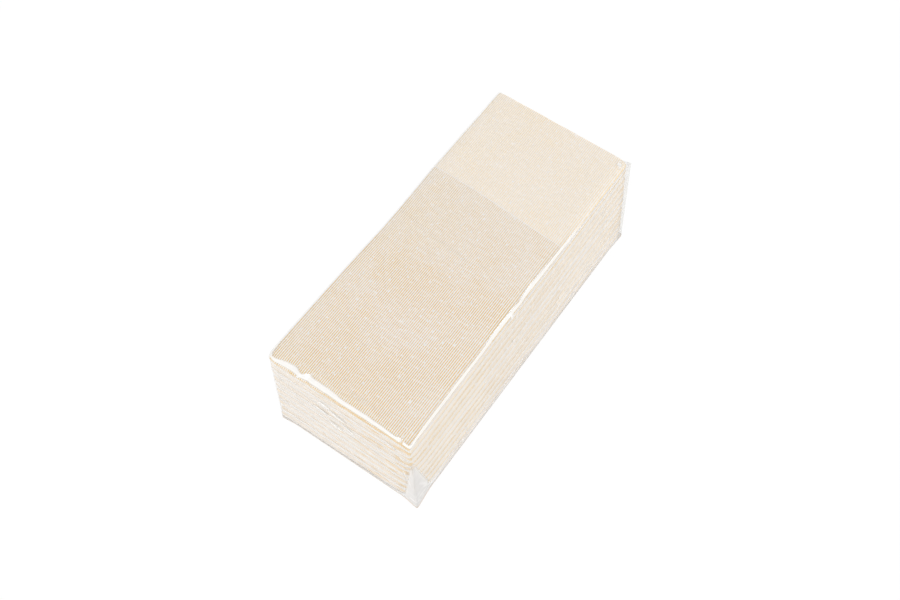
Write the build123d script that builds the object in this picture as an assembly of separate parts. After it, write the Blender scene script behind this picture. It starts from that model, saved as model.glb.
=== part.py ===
# A pack of printed paper dinner napkins, stacked flat and wrapped in tight clear film.
#
# Every napkin is one square sheet. One end is turned over the other to make a pocket,
# and the strip is then folded in four across its width, printed side out. The stack is
# made level by turning every second napkin end for end, because a napkin is thinner
# past the mouth of its pocket.
#
# Sizes are in millimetres. The origin is the middle of the underside. +Z is up, and +Y
# runs along the length, towards the end where the top napkin's pocket opens.

import os
from dataclasses import dataclass
from math import sin, sqrt

from build123d import *

# The open sheet
sheet_width = 330.0
sheet_length = 330.0
ply = 0.38  # one layer of paper, as it is pressed in the pack

# The folded napkin
folded_length = 196.0
pocket_depth = sheet_length - folded_length
fold_bulge = 0.5  # what the folds add to a quarter of the sheet's width
napkin_width = sheet_width / 4 + fold_bulge
panel_gap = 0.06  # air between two panels of one napkin
edge_recess = 0.7  # the two cut edges end this far inside the fold above them
napkin_height = 8 * ply + 3 * panel_gap

# The stack
napkin_count = 20
napkin_gap = 0.05
stack_height = napkin_count * napkin_height + (napkin_count - 1) * napkin_gap
sideways_shift = 0.35  # how far a napkin lies off the middle line at most
endways_shift = 0.5

# The film draws the long rims of the stack down
rim_width = 6.0
rim_drop = 1.3

# The film
film_thickness = 0.1
film_clearance = 0.15  # above and below the stack
side_clearance = 0.3  # beyond the napkin that lies furthest out
end_clearance = 0.6
lap_width = 14.0  # where the two edges of the film are welded together, underneath
shoulder_width = 5.6  # the film bridges the rounded rim of the top napkin
shoulder_drop = 1.5
end_shoulder_width = 0.5
low_ear_width = 8.0
low_ear_length = 12.0
top_ear_size = 4.0
flat_ear_share = 0.3  # what is left of an ear where the film reaches the flat top

# Where the stack stands inside the film
stack_base = 2 * film_thickness + film_clearance
pack_height = stack_base + stack_height + film_clearance + film_thickness
stack_half_width = napkin_width / 2 + sideways_shift
stack_half_length = folded_length / 2 + endways_shift
film_half_width = stack_half_width + side_clearance + film_thickness
film_half_length = stack_half_length + end_clearance + film_thickness

RIGHT = 1
LEFT = -1
FAR = 1
NEAR = -1


@dataclass(frozen=True)
class Corner:
    """One upright corner of the pack, where paper and film part from each other.

    Args:
        side: RIGHT or LEFT.
        end: FAR or NEAR.
        low_press: How far the lowest napkin's corner is pressed in, along X and along Y.
        top_press: The same for the top napkin.
        low_ear: How far the film stands out at the foot. It is drawn in where this is negative.
        top_ear: The same at the top.
    """

    side: int
    end: int
    low_press: tuple
    top_press: tuple
    low_ear: float
    top_ear: float

    def press(self, share):
        """Gives the press along X and along Y at this share of the stack's height."""
        return tuple(low + share * (top - low) for low, top in zip(self.low_press, self.top_press))

    def in_turn(self, points):
        """Puts points, which run from the long side to the short side, in the outline's order."""
        return points if self.side == self.end else points[::-1]


CORNERS = (
    Corner(RIGHT, FAR, low_press=(3.0, 4.0), top_press=(2.0, 2.0), low_ear=0.8, top_ear=0.9),
    Corner(LEFT, FAR, low_press=(3.0, 4.0), top_press=(2.8, 2.8), low_ear=1.3, top_ear=-0.6),
    Corner(LEFT, NEAR, low_press=(3.0, 4.0), top_press=(5.0, 4.0), low_ear=0.9, top_ear=-1.2),
    Corner(RIGHT, NEAR, low_press=(6.0, 11.0), top_press=(2.0, 2.0), low_ear=1.3, top_ear=0.0),
)


def rim_height(height, across):
    """Gives the height of a point after the rims are drawn down.

    Args:
        height: Its height above the foot of the stack before that.
        across: Its distance from the pack's middle plane.
    """
    share = max(0.0, abs(across) - (napkin_width / 2 - rim_width)) / rim_width
    return height * (1 - share * rim_drop / stack_height)


def fold_path(bottom, middle, front):
    """Draws the sheet's route through one folded napkin, seen along its length.

    The route starts at the cut edge of the third panel from the top. It goes through
    the second and the first, and round the outside of them to the fourth.

    Args:
        bottom: Height of the napkin's underside above the foot of the stack.
        middle: How far the napkin lies off the pack's middle plane.
        front: How far the route lies to the pocket's side of the sheet's middle.
    """
    top = bottom + napkin_height
    first = top - ply + front
    second = top - 3 * ply - panel_gap - front
    third = bottom + 3 * ply + panel_gap + front
    fourth = bottom + ply - front

    half_width = napkin_width / 2
    flat_half_width = half_width - rim_width
    cut_edge = middle + half_width - edge_recess
    left_fold = middle - half_width + napkin_height / 2
    right_fold = middle + half_width - 2 * ply - panel_gap / 2

    def panel(level, start, end):
        """Draws one panel from rim to rim, with both its rims drawn down."""
        turn = flat_half_width if start > 0 else -flat_half_width
        return Polyline(
            (start, 0, rim_height(level, start)),
            (turn, 0, level),
            (-turn, 0, level),
            (end, 0, rim_height(level, end)),
        ).edges()

    def crease(level, next_level, centre, side):
        """Draws a tight fold, which is pressed into three flat faces, half of a hexagon."""
        start = rim_height(level, centre)
        rise = rim_height(next_level, centre) - start
        reach = centre + side * abs(rise) * sqrt(3) / 4
        return Polyline(
            (centre, 0, start),
            (reach, 0, start + rise / 4),
            (reach, 0, start + rise * 3 / 4),
            (centre, 0, start + rise),
        ).edges()

    def outer_fold(level, next_level, centre, side):
        """Draws the round fold that goes about the panels inside it."""
        start = rim_height(level, centre)
        end = rim_height(next_level, centre)
        reach = centre + side * abs(start - end) / 2
        return ThreePointArc((centre, 0, start), (reach, 0, (start + end) / 2), (centre, 0, end)).edges()

    return [
        *panel(third, cut_edge, left_fold),
        *crease(third, second, left_fold, LEFT),
        *panel(second, left_fold, right_fold),
        *crease(second, first, right_fold, RIGHT),
        *panel(first, right_fold, left_fold),
        *outer_fold(first, fourth, left_fold, LEFT),
        *panel(fourth, left_fold, cut_edge),
    ]


def fold_section(bottom, middle, front, back):
    """Makes the cut face of a folded napkin between two routes through the sheet."""
    front_path = fold_path(bottom, middle, front)
    back_path = fold_path(bottom, middle, back)
    first_end = Line(front_path[0] @ 0, back_path[0] @ 0).edge()
    last_end = Line(front_path[-1] @ 1, back_path[-1] @ 1).edge()
    return Face(Wire([*front_path, *back_path, first_end, last_end]))


def pressed_outline(share):
    """Makes the plan of a napkin at this share of the stack's height, corners pressed in."""
    points = []
    for corner in CORNERS:
        across, along = corner.press(share)
        points += corner.in_turn([
            (corner.side * stack_half_width, corner.end * (stack_half_length - along)),
            (corner.side * (stack_half_width - across), corner.end * stack_half_length),
        ])
    return make_face(Polyline(*points, close=True))


def make_napkin(number):
    """Makes one folded napkin in its place. Number 1 is the lowest."""
    bottom = (number - 1) * (napkin_height + napkin_gap)
    is_turned = (napkin_count - number) % 2 == 1
    sideways = sideways_shift * sin(2.4 * number)
    endways = endways_shift * sin(1.7 * number + 1)
    middle = -sideways if is_turned else sideways

    along = Vector(0, 1, 0)
    pocket = extrude(fold_section(bottom, middle, ply, -ply), amount=pocket_depth, dir=along)
    back = extrude(fold_section(bottom, middle, 0, -ply), amount=folded_length - pocket_depth, dir=along)
    napkin = Pos(0, -folded_length / 2, 0) * (pocket + Pos(0, pocket_depth, 0) * back)
    if is_turned:
        napkin = Rot(0, 0, 180) * napkin

    outline = extrude(pressed_outline(bottom / (stack_height - napkin_height)), amount=stack_height)
    return Pos(0, 0, stack_base) * (Pos(0, endways, 0) * napkin & outline)


def film_outline(height, half_width, half_length, ear_width, ear_length, ears):
    """Makes a level cut through the film, with an ear at each corner.

    Args:
        height: Height of the cut.
        half_width: Half of the film's width between its ears.
        half_length: Half of its length between its ears.
        ear_width: How much of the short side an ear takes.
        ear_length: How much of the long side an ear takes.
        ears: How far each corner stands out, in the order of CORNERS.
    """
    points = []
    for corner, ear in zip(CORNERS, ears):
        points += corner.in_turn([
            (corner.side * half_width, corner.end * (half_length - ear_length)),
            (corner.side * (half_width + ear), corner.end * (half_length + ear)),
            (corner.side * (half_width - ear_width), corner.end * half_length),
        ])
    return Pos(0, 0, height) * make_face(Polyline(*points, close=True))


def film_body(inset):
    """Makes the solid inside the film's outer face, drawn in by an inset on every side."""
    half_width = film_half_width - inset
    half_length = film_half_length - inset
    low_ears = [corner.low_ear for corner in CORNERS]
    top_ears = [corner.top_ear for corner in CORNERS]
    foot = film_outline(inset, half_width, half_length, low_ear_width, low_ear_length, low_ears)
    shoulder = film_outline(
        pack_height - shoulder_drop - inset,
        half_width,
        half_length,
        top_ear_size,
        top_ear_size,
        top_ears,
    )
    top = film_outline(
        pack_height - inset,
        half_width - shoulder_width,
        half_length - end_shoulder_width,
        flat_ear_share * top_ear_size,
        flat_ear_share * top_ear_size,
        [flat_ear_share * ear for ear in top_ears],
    )
    return loft([foot, shoulder, top], ruled=True)


def make_film():
    """Makes the clear film, with the lap of its two welded edges inside the underside."""
    lap = Pos(0, 0, film_thickness) * Box(
        lap_width,
        2 * (film_half_length - film_thickness),
        film_thickness,
        align=(Align.CENTER, Align.CENTER, Align.MIN),
    )
    return film_body(0) - film_body(film_thickness) + lap


def main():
    """Makes every piece of the pack and writes each one to its own file."""
    os.makedirs("parts", exist_ok=True)
    for number in range(1, napkin_count + 1):
        export_step(make_napkin(number), f"parts/napkin_{number:02d}.step")
    export_step(make_film(), "parts/film_wrap.step")


main()
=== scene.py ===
"""Dresses the pack of paper dinner napkins: twenty printed sheets and the clear film round them.

Lengths are in millimetres while a piece is being shaped, and in metres once it is a mesh.
The origin is the middle of the underside, +Z is up, and +Y runs towards the far end.
"""

import logging
import math
from dataclasses import dataclass
from enum import Enum

import bpy
import numpy as np
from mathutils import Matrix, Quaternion, Vector


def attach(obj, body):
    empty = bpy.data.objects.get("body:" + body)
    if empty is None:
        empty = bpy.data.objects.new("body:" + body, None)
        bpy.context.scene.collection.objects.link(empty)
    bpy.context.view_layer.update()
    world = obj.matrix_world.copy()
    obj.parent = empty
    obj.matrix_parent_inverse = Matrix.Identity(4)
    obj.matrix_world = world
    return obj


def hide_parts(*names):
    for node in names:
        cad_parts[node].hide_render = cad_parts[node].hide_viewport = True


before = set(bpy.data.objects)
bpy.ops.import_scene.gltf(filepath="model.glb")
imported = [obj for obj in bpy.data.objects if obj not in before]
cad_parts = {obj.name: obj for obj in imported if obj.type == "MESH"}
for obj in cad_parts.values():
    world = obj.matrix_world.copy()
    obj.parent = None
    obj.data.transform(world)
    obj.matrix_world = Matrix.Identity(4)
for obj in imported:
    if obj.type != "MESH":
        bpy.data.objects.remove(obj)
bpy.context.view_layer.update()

log = logging.getLogger("napkin_pack")

METRES = 0.001  # one millimetre
SHARP_ANGLE = math.radians(50)  # faces that meet at more than this are shaded apart
BODY = "root"

# What the points of the meshes carry for the materials
SHEET_PLACE = "sheet_place"
HAZE_AND_PAINTED_LIGHT = "haze_and_painted_light"
DULLNESS = "dullness"
FOOT_SHADE_MASK = "foot_shade_mask"

# Sizes that the shapes and the print share
NAPKIN_COUNT = 20
PANEL_WIDTH = 82.5  # one of the four panels of a folded napkin
POCKET_DEPTH = 134.0  # from a napkin's folded end to the mouth of its pocket
NUMBER_STEP = 13.0  # from one napkin to the next in the print's noise, so that no two are alike


class Kind(Enum):
    """What a shader socket carries."""

    VALUE = "VALUE"
    COLOUR = "RGBA"
    VECTOR = "VECTOR"
    SHADER = "SHADER"


class Face(Enum):
    """Which face of the sheet a polygon belongs to, by its place in the napkin's materials."""

    PRINTED = 0
    REVERSE = 1
    CUT = 2


class SheetEnd(Enum):
    """One end of the pocketed strip, with the number that its seeds start from."""

    FOLDED = 0
    CUT = 1


class Wire:
    """One output socket, which takes part in Python arithmetic."""

    def __init__(self, graph: "Graph", socket: bpy.types.NodeSocket) -> None:
        """Holds a socket.

        Args:
            graph: The graph that it is in.
            socket: The socket.
        """
        self.graph = graph
        self.socket = socket
        self.kind = Kind(socket.type)

    def combine(self, operation: str, first: object, second: object) -> "Wire":
        """Adds the node that joins two operands.

        Args:
            operation: ADD, SUBTRACT, MULTIPLY or DIVIDE, and for values any Math operation.
            first: A wire, a number, a colour or a vector.
            second: The same.

        Returns:
            The wire that carries the result.
        """
        kinds = [operand.kind for operand in (first, second) if isinstance(operand, Wire)]
        if Kind.COLOUR in kinds:
            settings = {"data_type": "RGBA", "blend_type": operation}
            return self.graph.node("ShaderNodeMix", settings, {0: 1.0, 6: first, 7: second}, output=2)
        if Kind.VECTOR in kinds:
            return self.graph.node("ShaderNodeVectorMath", {"operation": operation}, {0: first, 1: second})
        return self.graph.node("ShaderNodeMath", {"operation": operation}, {0: first, 1: second})

    def __add__(self, other: object) -> "Wire":
        """Gives self + other."""
        return self.combine("ADD", self, other)

    def __radd__(self, other: object) -> "Wire":
        """Gives other + self."""
        return self.combine("ADD", other, self)

    def __sub__(self, other: object) -> "Wire":
        """Gives self - other."""
        return self.combine("SUBTRACT", self, other)

    def __rsub__(self, other: object) -> "Wire":
        """Gives other - self."""
        return self.combine("SUBTRACT", other, self)

    def __mul__(self, other: object) -> "Wire":
        """Gives self * other."""
        return self.combine("MULTIPLY", self, other)

    def __rmul__(self, other: object) -> "Wire":
        """Gives other * self."""
        return self.combine("MULTIPLY", other, self)


class Graph:
    """The nodes that make a material's surface, or the world's light."""

    def __init__(self, owner: bpy.types.Material | bpy.types.World) -> None:
        """Starts with no nodes.

        Args:
            owner: The material or the world that the nodes are for.
        """
        owner.use_nodes = True
        self.owner = owner
        self.tree = owner.node_tree
        self.tree.nodes.clear()

    def add(self, kind: str, settings: dict | None = None, values: dict | None = None) -> bpy.types.Node:
        """Adds one node.

        Args:
            kind: Blender's name for the node's type.
            settings: Its properties, which are set first.
            values: What its sockets hold, by name or number: wires, numbers, colours or vectors.

        Returns:
            The node.
        """
        node = self.tree.nodes.new(kind)
        for name, setting in (settings or {}).items():
            setattr(node, name, setting)
        for name, value in (values or {}).items():
            if isinstance(value, Wire):
                self.tree.links.new(value.socket, node.inputs[name])
            else:
                self.set_socket(node.inputs[name], value)
        return node

    @staticmethod
    def set_socket(socket: bpy.types.NodeSocket, value: object) -> None:
        """Sets a socket.

        Args:
            socket: The socket.
            value: A number, a colour or a vector. A number fills a whole colour or vector.
        """
        if not hasattr(socket.default_value, "__len__"):
            socket.default_value = value
            return
        room = len(socket.default_value)
        parts = tuple(value) if hasattr(value, "__len__") else (value,) * min(room, 3)
        socket.default_value = parts + (1.0,) * (room - len(parts))

    def node(
        self,
        kind: str,
        settings: dict | None = None,
        values: dict | None = None,
        output: int | str = 0,
    ) -> Wire:
        """Adds one node, as add does, and gives the wire from one of its outputs."""
        return Wire(self, self.add(kind, settings, values).outputs[output])

    def maths(self, operation: str, *values: object) -> Wire:
        """Adds a Math node, for what Python has no operator for."""
        return self.node("ShaderNodeMath", {"operation": operation}, dict(enumerate(values)))

    def attribute(self, name: str) -> Wire:
        """Gives a value that the points of the mesh carry."""
        return self.node("ShaderNodeAttribute", {"attribute_name": name}, output="Fac")

    def vector(self, x: object, y: object, z: object) -> Wire:
        """Makes a vector from three values."""
        return self.node("ShaderNodeCombineXYZ", None, {0: x, 1: y, 2: z})

    def noise(self, place: Wire, fineness: float = 1.0, detail: float = 2.0) -> Wire:
        """Gives smooth noise about one half."""
        return self.node("ShaderNodeTexNoise", None, {"Vector": place, "Scale": fineness, "Detail": detail})

    def ramp(self, value: Wire, low: float, high: float, floor: float = 0.0, ceiling: float = 1.0) -> Wire:
        """Takes a value from floor at low, softly, to ceiling at high."""
        values = {"Value": value, "From Min": low, "From Max": high, "To Min": floor, "To Max": ceiling}
        return self.node("ShaderNodeMapRange", {"interpolation_type": "SMOOTHSTEP"}, values)

    def blend(self, share: Wire, first: object, second: object) -> Wire:
        """Mixes two colours by a share."""
        return self.node("ShaderNodeMix", {"data_type": "RGBA"}, {0: share, 6: first, 7: second}, output=2)

    def bump(self, height: Wire, depth: float, strength: float) -> Wire:
        """Turns a height, which is so many millimetres deep, into normals."""
        values = {"Height": height, "Distance": depth * METRES, "Strength": strength}
        return self.node("ShaderNodeBump", None, values)

    def mix_shaders(self, share: Wire, first: Wire, second: Wire) -> Wire:
        """Mixes two surfaces by a share."""
        return self.node("ShaderNodeMixShader", None, {0: share, 1: first, 2: second})

    def seen_directly(self) -> Wire:
        """Tells what the camera sees from what only lights the object.

        Returns:
            1 for the camera, and for what mirrors or lets through what it sees, and 0 otherwise.
        """
        rays = self.add("ShaderNodeLightPath").outputs
        names = ("Is Camera Ray", "Is Glossy Ray", "Is Transmission Ray")
        camera, mirrored, through = (Wire(self, rays[name]) for name in names)
        return self.maths("MAXIMUM", self.maths("MAXIMUM", camera, mirrored), through)

    def finish(self, surface: Wire) -> bpy.types.Material | bpy.types.World:
        """Sends a surface to the output.

        Args:
            surface: The finished shader.

        Returns:
            The material or the world.
        """
        is_world = isinstance(self.owner, bpy.types.World)
        kind = "ShaderNodeOutputWorld" if is_world else "ShaderNodeOutputMaterial"
        self.add(kind, None, {"Surface": surface})
        return self.owner


@dataclass(frozen=True)
class SheetPlace:
    """Where a point lies on the opened sheet, in millimetres, and on which napkin.

    Args:
        graph: The material's nodes.
        across: How far across the sheet, from one cut edge.
        along: How far along it from the folded end. It is negative on the lower layer.
        napkin: The napkin's number times NUMBER_STEP.
    """

    graph: Graph
    across: Wire
    along: Wire
    napkin: Wire

    @classmethod
    def read(cls, graph: Graph) -> "SheetPlace":
        """Reads the place that the points of the mesh carry.

        Args:
            graph: The material's nodes.

        Returns:
            The place.
        """
        place = graph.node("ShaderNodeAttribute", {"attribute_name": SHEET_PLACE}, output="Vector")
        parts = graph.add("ShaderNodeSeparateXYZ", None, {0: place}).outputs
        return cls(graph, *(Wire(graph, part) for part in parts))

    def grain(self, fineness: tuple, detail: float = 2.0) -> Wire:
        """Gives noise with so many grains a millimetre, across and along the sheet."""
        place = self.graph.vector(self.across * fineness[0], self.along * fineness[1], self.napkin)
        return self.graph.noise(place, detail=detail)

    def by_napkin(self, first: int, full: int, most: float = 1.0) -> Wire:
        """Goes from 0 on one napkin, and on those before it, to the most on another."""
        return self.graph.ramp(self.napkin, NUMBER_STEP * first, NUMBER_STEP * full, 0.0, most)


@dataclass(frozen=True)
class StripePrint:
    """The fine stripes of the print, with the uneven threads of a linen look.

    A fineness is given in grains a millimetre, across and along the sheet. A fade is
    given as where the thing begins to show and where it shows in full.

    Args:
        pitch: From one stripe to the next.
        softness: How softly a stripe ends. It is a share of the stripe's wave.
        strength: How much ink a stripe holds.
        wobble: How far a stripe strays, as a share of the pitch.
        wobble_fineness: How finely it strays.
        unevenness: How much the stripes differ in width.
        thread_fineness: How fine the threads are that make them differ.
        weft_fineness: How fine the threads are that cross the stripes.
        weft_ink: The share of ink under those threads, least and most.
        cloud_fineness: How fine the clouds in the print are.
        cloud_ink: The share of ink in the clouds, least and most.
        break_fineness: How fine the breaks in the print are.
        break_fade: The noise that makes a break.
        break_loss: The share of its ink that a break loses.
        far_fade: How far along the sheet the print grows paler and closer.
        far_loss: The share of its stripes' ink that is lost there.
        far_tone: How much ink lies between the stripes there.
        end_fade: How near the short sides' own look begins, in millimetres from the fold.
        end_loss: How much paler the stripes are there.
        end_tone: How much ink lies between the stripes there.
        side_fade: How near the long sides' own look begins, as the sine of a panel's share.
        side_loss: How much paler the stripes are there.
        side_tone: How much ink lies between the stripes there.
        fold_ink: How much darker the print looks along the folds, here and there.
        patch_fineness: How fine the darker patches on the folded ends are.
        patch_slant: How much more of them there is towards one side.
        top_patches: How much more there is on the top napkin.
        low_patches: How much more there is on the lowest napkin.
        patch_fade: The noise that makes a patch.
        dash_fineness: How fine the darker dashes on the folds along the sheet are.
        tip_dashes: How much more of them there is near the folded end.
        dash_fade: The noise that makes a dash.
        pale_mouth_margin: Where the bare margin at the pocket's mouth begins, before the mouth. With less
            ink, that margin is partly a painted highlight along the mouth's edge.
        panel: The width of one of the folded napkin's panels.
        pocket_depth: From the folded end to the mouth of the pocket.
    """

    pitch: float = 1.07
    softness: float = 0.55
    strength: float = 1.0
    wobble: float = 0.05
    wobble_fineness: tuple = (0.05, 0.06)
    unevenness: float = 0.5
    thread_fineness: tuple = (0.9, 0.1)
    weft_fineness: tuple = (0.12, 1.6)
    weft_ink: tuple = (0.7, 1.15)
    cloud_fineness: tuple = (0.03, 0.03)
    cloud_ink: tuple = (0.85, 1.1)
    break_fineness: tuple = (1.1, 0.5)
    break_fade: tuple = (0.62, 0.72)
    break_loss: float = 0.7
    far_fade: tuple = (65.0, 125.0)
    far_loss: float = 0.3
    far_tone: float = 0.05
    end_fade: tuple = (1.6, 0.8)
    end_loss: float = 0.8
    end_tone: float = 0.24
    side_fade: tuple = (0.1, 0.06)
    side_loss: float = 0.45
    side_tone: float = 0.14
    fold_ink: float = 0.42
    patch_fineness: float = 0.1
    patch_slant: float = 0.11
    top_patches: float = 0.14
    low_patches: float = 0.12
    patch_fade: tuple = (0.56, 0.66)
    dash_fineness: float = 0.07
    tip_dashes: float = 0.12
    dash_fade: tuple = (0.6, 0.68)
    pale_mouth_margin: tuple = (0.4, 0.2)
    panel: float = PANEL_WIDTH
    pocket_depth: float = POCKET_DEPTH

    def stripes(self, graph: Graph, place: SheetPlace) -> Wire:
        """Draws the stripes, thread by thread.

        Args:
            graph: The material's nodes.
            place: Where a point lies on the sheet.

        Returns:
            Their ink.
        """
        stray = place.grain(self.wobble_fineness) - 0.5
        phase = place.across * (2 * math.pi / self.pitch) + stray * (4 * math.pi * self.wobble)
        thread = place.grain(self.thread_fineness) - 0.5
        wave = graph.maths("SINE", phase) + thread * self.unevenness
        weft = graph.ramp(place.grain(self.weft_fineness), 0.25, 0.75, *self.weft_ink)
        cloud = graph.ramp(place.grain(self.cloud_fineness), 0.3, 0.7, *self.cloud_ink)
        return graph.ramp(wave, -self.softness, self.softness) * weft * cloud

    def darker_fold_marks(self, graph: Graph, place: SheetPlace, tip: Wire, turn: Wire, below: Wire) -> Wire:
        """Finds the patches and dashes on the folds where the print looks darker.

        There are more patches towards one side, and on the top and the lowest napkin.

        Args:
            graph: The material's nodes.
            place: Where a point lies on the sheet.
            tip: How far it is from the folded end.
            turn: How far it is from a fold along the sheet, as the sine of a panel's share.
            below: 1 under the two top napkins, and 0 on them.

        Returns:
            1 where the print is darker, and 0 elsewhere.
        """
        side = graph.maths("COSINE", place.across * (math.pi / self.panel))
        across = graph.vector(place.across * self.patch_fineness, place.napkin, 0.0)
        patches = graph.noise(across, detail=1.0) + side * self.patch_slant
        patches = patches + place.by_napkin(NAPKIN_COUNT - 1, NAPKIN_COUNT, self.top_patches)
        patches = patches + place.by_napkin(2, 1, self.low_patches)
        along = graph.vector(place.along * self.dash_fineness, place.napkin, 5.0)
        dashes = graph.noise(along, detail=1.0) + graph.ramp(tip, 45.0, 15.0, 0.0, self.tip_dashes)
        at_tip = graph.ramp(tip, 0.8, 0.2) * graph.ramp(patches, *self.patch_fade)
        at_turn = graph.ramp(turn, 0.03, 0.008) * graph.ramp(dashes, *self.dash_fade) * below
        return at_tip + at_turn

    def bare(self, graph: Graph, place: SheetPlace) -> Wire:
        """Finds the bare margin at the pocket's mouth, which is partly a painted highlight along its edge.

        Args:
            graph: The material's nodes.
            place: Where a point lies on the sheet.

        Returns:
            1 in the margin, and 0 elsewhere.
        """
        start, full = (self.pocket_depth - reach for reach in self.pale_mouth_margin)
        past_mouth = graph.ramp(place.along, self.pocket_depth, self.pocket_depth + 0.01)
        return graph.ramp(place.along, start, full) - past_mouth

    def ink(self, graph: Graph, place: SheetPlace) -> Wire:
        """Prints the sheet.

        Args:
            graph: The material's nodes.
            place: Where a point lies on the sheet.

        Returns:
            The ink at each point, from 0 to about 1.
        """
        tip = graph.maths("ABSOLUTE", place.along)
        turn = graph.maths("ABSOLUTE", graph.maths("SINE", place.across * (math.pi / self.panel)))
        below = place.by_napkin(NAPKIN_COUNT - 1, NAPKIN_COUNT - 2)
        far = graph.ramp(place.along, *self.far_fade)
        on_end = graph.ramp(tip, *self.end_fade) * below
        on_side = graph.ramp(turn, *self.side_fade) * below
        amount = self.stripes(graph, place) * (1 - far * self.far_loss) + far * self.far_tone
        amount = amount * (1 - on_end * self.end_loss) * (1 - on_side * self.side_loss)
        amount = amount + on_end * self.end_tone + on_side * self.side_tone
        amount = amount + self.darker_fold_marks(graph, place, tip, turn, below) * self.fold_ink
        breaks = graph.ramp(place.grain(self.break_fineness, detail=1.0), *self.break_fade)
        # The bare margin at the pocket's mouth is partly a painted highlight along its edge.
        return amount * (1 - breaks * self.break_loss) * (1 - self.bare(graph, place)) * self.strength


@dataclass(frozen=True)
class PaperFinish:
    """Soft tissue paper, plain or printed.

    Args:
        name: The material's name.
        paper: The bare paper's colour.
        ink: The print's colour.
        stripes: The print, or what shows of it.
        fibre_depth: How far the fibres stand up.
        fibre_fineness: How fine they are, in grains a millimetre across and along the sheet.
        thread_fineness: The same for the threads of the linen look.
        mottle_fineness: The same for the paper's cloudiness.
        mottle: The paper's brightness in the clouds, least and most.
        gloss: The roughness, least and most.
        relief: How much the fibres, the threads and the ink's dents count in the bump.
        relief_strength: How strong the bump is.
        specular: How much it shines.
        sheen: How velvety it is.
    """

    name: str
    paper: tuple
    ink: tuple
    stripes: StripePrint
    fibre_depth: float = 0.03
    fibre_fineness: tuple = (2.2, 1.1)
    thread_fineness: tuple = (0.3, 2.0)
    mottle_fineness: tuple = (0.5, 0.5)
    mottle: tuple = (0.97, 1.03)
    gloss: tuple = (0.82, 0.95)
    relief: tuple = (0.6, 0.4, 0.15)
    relief_strength: float = 0.6
    specular: float = 0.25
    sheen: float = 0.08

    def make(self) -> bpy.types.Material:
        """Makes the material.

        Returns:
            The material, which reads the sheet's place from the mesh.
        """
        graph = Graph(bpy.data.materials.new(self.name))
        place = SheetPlace.read(graph)
        ink = self.stripes.ink(graph, place)
        mottle = graph.ramp(place.grain(self.mottle_fineness), 0.2, 0.8, *self.mottle)
        fibres = place.grain(self.fibre_fineness, detail=3.0)
        threads = place.grain(self.thread_fineness)
        height = fibres * self.relief[0] + threads * self.relief[1] - ink * self.relief[2]
        values = {
            "Base Color": graph.blend(ink, self.paper, self.ink) * mottle,
            "Roughness": graph.ramp(fibres, 0.2, 0.8, *self.gloss),
            "Normal": graph.bump(height, self.fibre_depth, self.relief_strength),
            "Specular IOR Level": self.specular,
            "Sheen Weight": self.sheen,
        }
        return graph.finish(graph.node("ShaderNodeBsdfPrincipled", None, values))


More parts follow.
